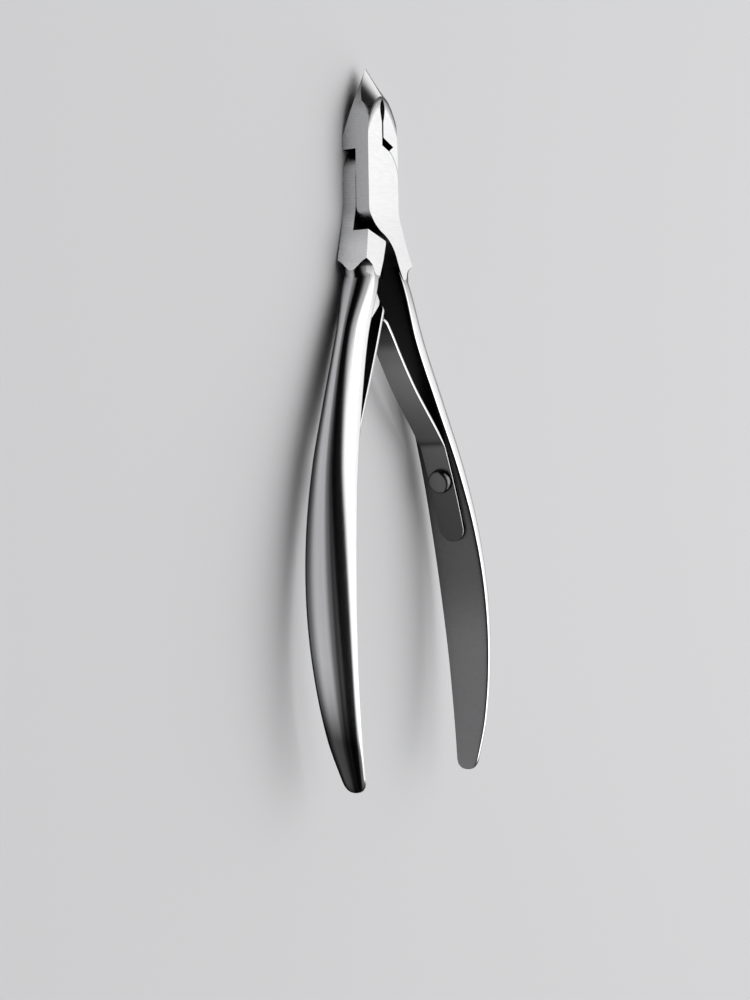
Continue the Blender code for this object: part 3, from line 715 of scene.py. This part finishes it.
def spring_rivet_profile(grow, with_head):
    """Shank of a spring rivet, with its low domed head or, for its bore, running on past it."""
    depth = STRIP_SEAT_GAP + STRIP_THICK + SPRING_RIVET_DEPTH + grow
    shank = SPRING_RIVET_SHANK_RADIUS + grow
    if not with_head:
        return [(0.0, SPRING_BORE_TOP), (shank, SPRING_BORE_TOP), (shank, -depth), (0.0, -depth)]
    profile = [(0.0, SPRING_RIVET_HEAD_HEIGHT), (SPRING_RIVET_HEAD_FLAT, SPRING_RIVET_HEAD_HEIGHT)]
    reach = SPRING_RIVET_HEAD_RADIUS - SPRING_RIVET_HEAD_FLAT
    for degrees in SPRING_RIVET_HEAD_DEGREES:
        angle = math.radians(degrees)
        height = SPRING_RIVET_RIM_SHARE + (1.0 - SPRING_RIVET_RIM_SHARE) * math.cos(angle)
        profile.append((SPRING_RIVET_HEAD_FLAT + reach * math.sin(angle), SPRING_RIVET_HEAD_HEIGHT * height))
    profile += [(SPRING_RIVET_HEAD_RADIUS, 0.0), (shank, 0.0), (shank, -depth), (0.0, -depth)]
    return profile


def spring_bore(side):
    profile = spring_rivet_profile(SPRING_RIVET_CLEARANCE, False)
    return turned_solid("spring_bore", profile, rivet_axis(side), SPRING_BORE_STEPS)


# --- springs ------------------------------------------------------------------------------

def foot_path(side):
    """Middle of the foot, from its round end up to the crease, with its half widths."""
    offset = (STRIP_SEAT_GAP + STRIP_THICK / 2.0) * STRIP_SEAT_ALLOWANCE
    stations = []
    for i in range(FOOT_CAP_STEPS + 1):
        angle = math.radians(90.0 * (i + FOOT_CAP_START) / (FOOT_CAP_STEPS + FOOT_CAP_START))
        v = FOOT_END_V + STRIP_HALF_WIDTH * (1.0 - math.cos(angle))
        stations.append((v, STRIP_HALF_WIDTH * math.sin(angle)))
    low_v, high_v = FOOT_END_V + STRIP_HALF_WIDTH, CREASE_V - CREASE_STRAIGHT
    for i in range(1, FOOT_STEPS + 1):
        stations.append((low_v + (high_v - low_v) * i / FOOT_STEPS, STRIP_HALF_WIDTH))
    path = [Vector((side * (inner_face_x(v) - offset), v)) for v, half in stations]
    return path, [half for v, half in stations]


def spring_strip(name, side, leaf_points):
    """One bent strip: foot, crease and leaf, with softly rounded long edges and a rounded tip."""
    path, widths = foot_path(side)
    leaf_path = path_points(leaf_points, LEAF_STEPS)
    count = len(leaf_path)
    tip = leaf_path[-1]
    for i, point in enumerate(leaf_path):
        share = i / (count - 1)
        half = STRIP_HALF_WIDTH + (LEAF_TIP_HALF_WIDTH - STRIP_HALF_WIDTH) * share
        from_tip = (tip - point).length
        if from_tip < LEAF_TIP_ROUND:
            inset = LEAF_TIP_ROUND - from_tip
            half -= LEAF_TIP_ROUND - math.sqrt(max(LEAF_TIP_ROUND ** 2 - inset ** 2, 0.0))
        path.append(point)
        widths.append(half)
    rings = []
    last = len(path) - 1
    for i, point in enumerate(path):
        ahead = (path[min(i + 1, last)] - path[max(i - 1, 0)]).normalized()
        normal = Vector((-ahead.y, ahead.x))
        ring = []
        for across, deep in strip_section(widths[i], STRIP_THICK / 2.0):
            spot = point + normal * deep
            ring.append((spot.x, spot.y, sweep(point.y) + across))
        rings.append(ring)
    return loft_solid(name, rings)


def strip_section(half_width, half_thick):
    """Rectangle with small round corners, as (across, deep) points."""
    radius = min(STRIP_EDGE_ROUND, half_width * STRIP_EDGE_SHARE)
    section = []
    for corner, (sign_w, sign_t) in enumerate(((1, 1), (-1, 1), (-1, -1), (1, -1))):
        for k in range(STRIP_CORNER_STEPS):
            angle = math.radians(90.0 * (corner + k / (STRIP_CORNER_STEPS - 1)))
            across = sign_w * (half_width - radius) + radius * math.cos(angle)
            deep = sign_t * (half_thick - radius) + radius * math.sin(angle)
            section.append((across, deep))
    return section


# --- finish of the surfaces ---------------------------------------------------------------

def round_edges(thing, width):
    """A fine rounded edge on every sharp corner."""
    bevel = thing.modifiers.new("rounded_edges", "BEVEL")
    bevel.width = width * MM
    bevel.segments = 2
    bevel.limit_method = "ANGLE"
    bevel.angle_limit = math.radians(ROUNDED_EDGE_DEGREES)
    bevel.use_clamp_overlap = True
    bake(thing)


def shade(thing, sharp_degrees):
    """Smooth shading over gentle edges; large flat faces keep their own normals."""
    mesh = thing.data
    mesh.shade_smooth()
    mesh.set_sharp_from_angle(angle=math.radians(sharp_degrees))
    weighted = thing.modifiers.new("flat_faces", "WEIGHTED_NORMAL")
    weighted.mode = "FACE_AREA"
    weighted.keep_sharp = True
    bake(thing)


def node(tree, kind, **values):
    made = tree.nodes.new(kind)
    for key, value in values.items():
        setattr(made, key, value)
    return made


def metres(v):
    """World Y of a station along the tool."""
    return (v + PIVOT_Y) * MM


def coordinate(tree, kind, axis):
    """One axis of the place (kind Object) or of the facing (kind Normal) of a surface."""
    coords = node(tree, "ShaderNodeTexCoord")
    split = node(tree, "ShaderNodeSeparateXYZ")
    tree.links.new(coords.outputs[kind], split.inputs["Vector"])
    return split.outputs[axis]


def map_range(tree, value, source, target):
    ranged = node(tree, "ShaderNodeMapRange")
    ranged.inputs["From Min"].default_value, ranged.inputs["From Max"].default_value = source
    ranged.inputs["To Min"].default_value, ranged.inputs["To Max"].default_value = target
    tree.links.new(value, ranged.inputs["Value"])
    return ranged.outputs["Result"]


def multiply(tree, colour, factor):
    both = node(tree, "ShaderNodeMix", data_type="RGBA", blend_type="MULTIPLY")
    both.inputs["Factor"].default_value = 1.0
    tree.links.new(colour, both.inputs["A"])
    tree.links.new(factor, both.inputs["B"])
    return both.outputs["Result"]


def graded(tree, value, stops, span=None, blue=1.0):
    """Grey ramp over the value, by (value, grey) stops; the span is the stops' own if not given."""
    low, high = span or (stops[0][0], stops[-1][0])
    ramp = node(tree, "ShaderNodeValToRGB")
    ramp.color_ramp.interpolation = "EASE"
    elements = ramp.color_ramp.elements
    while len(elements) < len(stops):
        elements.new(0.5)
    for element, (spot, grey) in zip(elements, stops):
        element.position = (spot - low) / (high - low)
        element.color = (grey, grey, grey * blue, 1.0)
    tree.links.new(map_range(tree, value, (low, high), (0.0, 1.0)), ramp.inputs["Fac"])
    return ramp.outputs["Color"]


def paint_light_and_shade_by_facing(tree, colour, axis, stops, spread=None):
    """Paint reflection or shade: multiply the colour by a grey that depends on how far the surface faces
    along the axis.
    """
    facing = coordinate(tree, "Normal", axis)
    if spread:
        (low_v, low_factor), (high_v, high_factor) = spread
        span = (metres(low_v), metres(high_v))
        factor = map_range(tree, coordinate(tree, "Object", "Y"), span, (low_factor, high_factor))
        product = node(tree, "ShaderNodeMath", operation="MULTIPLY")
        tree.links.new(facing, product.inputs[0])
        tree.links.new(factor, product.inputs[1])
        facing = product.outputs["Value"]
    return multiply(tree, colour, graded(tree, facing, stops))


def brushed_lines(tree, stretch):
    """Fine lines fixed to the metal; the stretch is lines per metre along each axis."""
    coords = node(tree, "ShaderNodeTexCoord")
    mapping = node(tree, "ShaderNodeMapping")
    mapping.inputs["Scale"].default_value = stretch
    noise = node(tree, "ShaderNodeTexNoise")
    noise.inputs["Scale"].default_value = 1.0
    noise.inputs["Detail"].default_value = LINE_DETAIL
    tree.links.new(coords.outputs["Object"], mapping.inputs["Vector"])
    tree.links.new(mapping.outputs["Vector"], noise.inputs["Vector"])
    return noise.outputs["Fac"]


def steel(name, tones, roughness, stretch, bump, facing=()):
    """Steel with fine lines, graded by the tones along the tool and by the facing rules; the rules, and the
    tones of several finishes, are painted reflection and shade.
    """
    material = bpy.data.materials.new(name)
    material.use_nodes = True
    tree = material.node_tree
    shader = tree.nodes["Principled BSDF"]
    shader.inputs["Metallic"].default_value = 1.0
    shader.inputs["Specular Tint"].default_value = (EDGE_TINT, EDGE_TINT, EDGE_TINT, 1.0)
    lines = brushed_lines(tree, stretch)
    tree.links.new(map_range(tree, lines, LINE_SPAN, roughness), shader.inputs["Roughness"])
    relief = node(tree, "ShaderNodeBump")
    relief.inputs["Strength"].default_value = bump
    relief.inputs["Distance"].default_value = LINE_DEPTH * MM
    tree.links.new(lines, relief.inputs["Height"])
    tree.links.new(relief.outputs["Normal"], shader.inputs["Normal"])
    stops = [(metres(v), grey) for v, grey in tones]
    whole_tool = (metres(HANDLE_END_V), metres(TIP_V))
    colour = graded(tree, coordinate(tree, "Object", "Y"), stops, whole_tool, STEEL_BLUE)
    colour = multiply(tree, colour, map_range(tree, lines, LINE_SPAN, LINE_TONES))
    for rule in facing:
        colour = paint_light_and_shade_by_facing(tree, colour, *rule)
    tree.links.new(colour, shader.inputs["Base Color"])
    return material


def paint_scoop_shade(material):
    """Painted shade: darken the front face just under the arch where the cutting bevels end."""
    tree = material.node_tree
    base = tree.nodes["Principled BSDF"].inputs["Base Color"]
    squared = node(tree, "ShaderNodeMath", operation="POWER")
    squared.inputs[1].default_value = 2.0
    tree.links.new(coordinate(tree, "Object", "X"), squared.inputs[0])
    arch = node(tree, "ShaderNodeMath", operation="MULTIPLY_ADD")
    arch.inputs[1].default_value = FRONT_BEVEL_ARCH / MM
    tree.links.new(squared.outputs["Value"], arch.inputs[0])
    tree.links.new(coordinate(tree, "Object", "Y"), arch.inputs[2])
    stops = [(metres(FRONT_EDGE_V - depth), grey) for depth, grey in SCOOP_PAINTED_SHADE]
    shadow = graded(tree, arch.outputs["Value"], stops)
    tree.links.new(multiply(tree, base.links[0].from_socket, shadow), base)


def make_materials():
    # The facing rules paint reflection and shade into the mirror, ground and bevel finishes
    mirror_painted_reflection_and_shade_rules = (("Z", MIRROR_PAINTED_REFLECTION, MIRROR_REFLECTION_SPREAD), ("Y", SCALLOP_PAINTED_SHADE))
    ground_painted_shade_rules = (("Y", GROUND_PAINTED_SHADE),)
    bevel_painted_shade_rules = (("Z", BEVEL_PAINTED_SHADE),)
    across, along = LINES_ACROSS, LINES_ALONG
    materials = {
        "mirror": steel("mirror_steel_painted_reflection_and_shade", MIRROR_TONES_PAINTED_SHADE, (0.15, 0.20), along, 0.015, mirror_painted_reflection_and_shade_rules),
        "ground": steel("ground_side_painted_shade", GROUND_TONES_PAINTED_SHADE, (0.20, 0.30), across, 0.10, ground_painted_shade_rules),
        "front": steel("ground_front_painted_shade", FRONT_TONES, (0.18, 0.26), across, 0.04),
        "bevel": steel("cutting_bevel_painted_shade", BEVEL_TONES, (0.16, 0.22), across, 0.02, bevel_painted_shade_rules),
        "inner": steel("satin_inner_face_painted_shade", INNER_TONES_PAINTED_SHADE, (0.26, 0.38), across, 0.3),
        "strip": steel("spring_satin_painted_shade", STRIP_TONES_PAINTED_SHADE, (0.28, 0.38), along, 0.2),
        "edge": steel("spring_edge", STRIP_EDGE_TONES, (0.12, 0.2), along, 0.1),
        "rivet": steel("rivet_steel", RIVET_TONES, (0.18, 0.26), across, 0.1),
    }
    # Painted shade under the bevels' arch on the front finish
    paint_scoop_shade(materials["front"])
    return materials


def lever_finish(v, w, inward, normal):
    """Finish of one face of a lever, by where it is and how it faces."""
    facing_x, facing_z = abs(normal.x), abs(normal.z)
    on_lap = abs(w) < LAP_FINISH_HALF and facing_z > LAP_FACING
    # The inner finish carries painted shade, on faces turned towards the other handle and on the lap
    if inward > INNER_FACING and v < INNER_FINISH_TOP_V or on_lap:
        return "inner"
    flat_side = facing_x > BLOCK_SIDE_FACING and facing_z < BLOCK_SIDE_TILT
    flat_front = facing_z > BLOCK_FRONT_FACING and facing_x < BLOCK_FRONT_TILT
    if v < HEAD_FINISH_END_V and not (flat_side or flat_front) or v < HANDLE_FINISH_V:
        return "mirror"
    if normal.z > BEVEL_FACING_Z and normal.y > BEVEL_FACING_Y:
        return "bevel"
    return "front" if facing_z > FRONT_FACING else "ground"


def paint_lever(lever_mesh, side, materials):
    """Mirror finish on the handle, with painted reflection and shade; satin on its inner face, painted dark
    as shade; a ground finish on the head, with painted shade.
    """
    for key in LEVER_FINISHES:
        lever_mesh.materials.append(materials[key])
    for face in lever_mesh.polygons:
        v = face.center.y / MM - PIVOT_Y
        w = face.center.z / MM - HEAD_HALF_THICK
        finish = lever_finish(v, w, -side * face.normal.x, face.normal)
        face.material_index = LEVER_FINISHES.index(finish)


def paint_strip(strip_mesh, materials):
    """Satin on the strip's broad faces, painted dark as shade, and bright edges."""
    strip_mesh.materials.append(materials["strip"])
    strip_mesh.materials.append(materials["edge"])
    for face in strip_mesh.polygons:
        face.material_index = 1 if abs(face.normal.z) > STRIP_EDGE_FACING else 0


# --- studio -------------------------------------------------------------------------------

def floor():
    bpy.ops.mesh.primitive_plane_add(size=FLOOR_SIZE, location=(0.0, 0.0, -FLOOR_DROP))
    plane = bpy.context.object
    plane.name = "floor"
    material = bpy.data.materials.new("pale_floor")
    material.use_nodes = True
    shader = material.node_tree.nodes["Principled BSDF"]
    shader.inputs["Base Color"].default_value = FLOOR_COLOUR
    shader.inputs["Roughness"].default_value = FLOOR_ROUGHNESS
    plane.data.materials.append(material)


def world():
    """Bright overhead and to the right, dark low on the left, like a tent with one open side."""
    background = bpy.data.worlds.new("studio")
    bpy.context.scene.world = background
    background.use_nodes = True
    tree = background.node_tree
    shader = tree.nodes["Background"]
    coords = node(tree, "ShaderNodeTexCoord")
    lean = node(tree, "ShaderNodeVectorMath", operation="DOT_PRODUCT")
    lean.inputs[1].default_value = (WORLD_LEAN_X, 0.0, 1.0)
    tree.links.new(coords.outputs["Generated"], lean.inputs[0])
    ramp = node(tree, "ShaderNodeValToRGB")
    ramp.color_ramp.interpolation = "EASE"
    first, second = ramp.color_ramp.elements
    first.position, first.color = WORLD_DARK_TO, WORLD_DARK
    second.position, second.color = WORLD_BRIGHT_FROM, WORLD_BRIGHT
    tree.links.new(lean.outputs["Value"], ramp.inputs["Fac"])
    tree.links.new(ramp.outputs["Color"], shader.inputs["Color"])
    shader.inputs["Strength"].default_value = WORLD_STRENGTH


def overhead_light():
    """One large soft light, high on the right."""
    light = bpy.data.lights.new("overhead", "AREA")
    light.size = LIGHT_SIZE
    light.energy = LIGHT_POWER
    thing = bpy.data.objects.new("overhead", light)
    bpy.context.scene.collection.objects.link(thing)
    thing.location = LIGHT_PLACE
    aim = Vector(LIGHT_TARGET) - Vector(LIGHT_PLACE)
    thing.rotation_euler = aim.to_track_quat("-Z", "Y").to_euler()


def camera():
    """Low on the left, with the tool's length upright in the frame."""
    eye = bpy.data.cameras.new("camera")
    eye.lens = CAMERA_LENS
    eye.sensor_width = CAMERA_SENSOR
    eye.clip_start = CAMERA_CLIP_START
    thing = bpy.data.objects.new("camera", eye)
    bpy.context.scene.collection.objects.link(thing)
    place_eye, target = Vector(CAMERA_PLACE), Vector(CAMERA_TARGET)
    back = (place_eye - target).normalized()
    along = Vector((0.0, 1.0, 0.0))
    up = (along - back * along.dot(back)).normalized()
    up.rotate(Matrix.Rotation(math.radians(CAMERA_ROLL), 3, back))
    right = up.cross(back)
    turn = Matrix((right, up, back)).transposed().to_4x4()
    thing.matrix_world = Matrix.Translation(place_eye) @ turn
    bpy.context.scene.camera = thing


# --- the pieces ---------------------------------------------------------------------------

def build_lever(side, label, body, materials):
    """Side is +1 for the front lever and -1 for the back one, which also has the stop tooth."""
    jaw_edge = square_jaw_edge() if side > 0 else seated_jaw_edge()
    bore = turned_solid("bore", pivot_profile(PIVOT_CLEARANCE), PIVOT_MATRIX, BORE_STEPS)
    extras = [(bore, "DIFFERENCE"), (spring_bore(side), "DIFFERENCE")]
    if side < 0:
        extras.insert(0, (stop_tooth(), "UNION"))
    piece = lever(label + "_lever_steel", side, jaw_edge, extras)
    shade(piece, LEVER_SHARP_DEGREES)
    paint_lever(piece.data, side, materials)
    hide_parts(body)
    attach(piece, body)


def build_pivot(materials):
    pivot = turned_solid("pivot_rivet_head", pivot_profile(0.0), PIVOT_MATRIX, PIVOT_STEPS)
    round_edges(pivot, PIVOT_EDGE_ROUND)
    shade(pivot, PIVOT_SHARP_DEGREES)
    pivot.data.materials.append(materials["rivet"])
    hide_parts("pivot_rivet")
    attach(pivot, "back_lever")


def build_spring(side, label, body, leaf_points, materials):
    """One strip that bends at its crease, and the rivet that holds its foot."""
    strip = spring_strip(label + "_spring", side, leaf_points)
    combine(strip, spring_bore(side), "DIFFERENCE")
    shade(strip, STRIP_SHARP_DEGREES)
    paint_strip(strip.data, materials)
    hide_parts(label + "_spring_foot", label + "_spring_leaf")
    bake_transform(strip)
    profile = spring_rivet_profile(0.0, True)
    rivet = turned_solid(label + "_spring_rivet_head", profile, rivet_axis(side), SPRING_RIVET_STEPS)
    bake(rivet)
    shade(rivet, SPRING_RIVET_SHARP_DEGREES)
    rivet.data.materials.append(materials["rivet"])
    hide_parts(label + "_spring_rivet")
    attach(rivet, body)


def build():
    materials = make_materials()
    build_lever(1, "front", "front_lever", materials)
    build_lever(-1, "back", "back_lever", materials)
    build_pivot(materials)
    build_spring(1, "right", "front_lever", RIGHT_LEAF, materials)
    build_spring(-1, "left", "back_lever", LEFT_LEAF, materials)


PIVOT_MATRIX = Matrix.Translation(place(0.0, 0.0, 0.0))

bpy.context.scene.view_settings.view_transform = "Standard"
build()
floor()
world()
overhead_light()
camera()
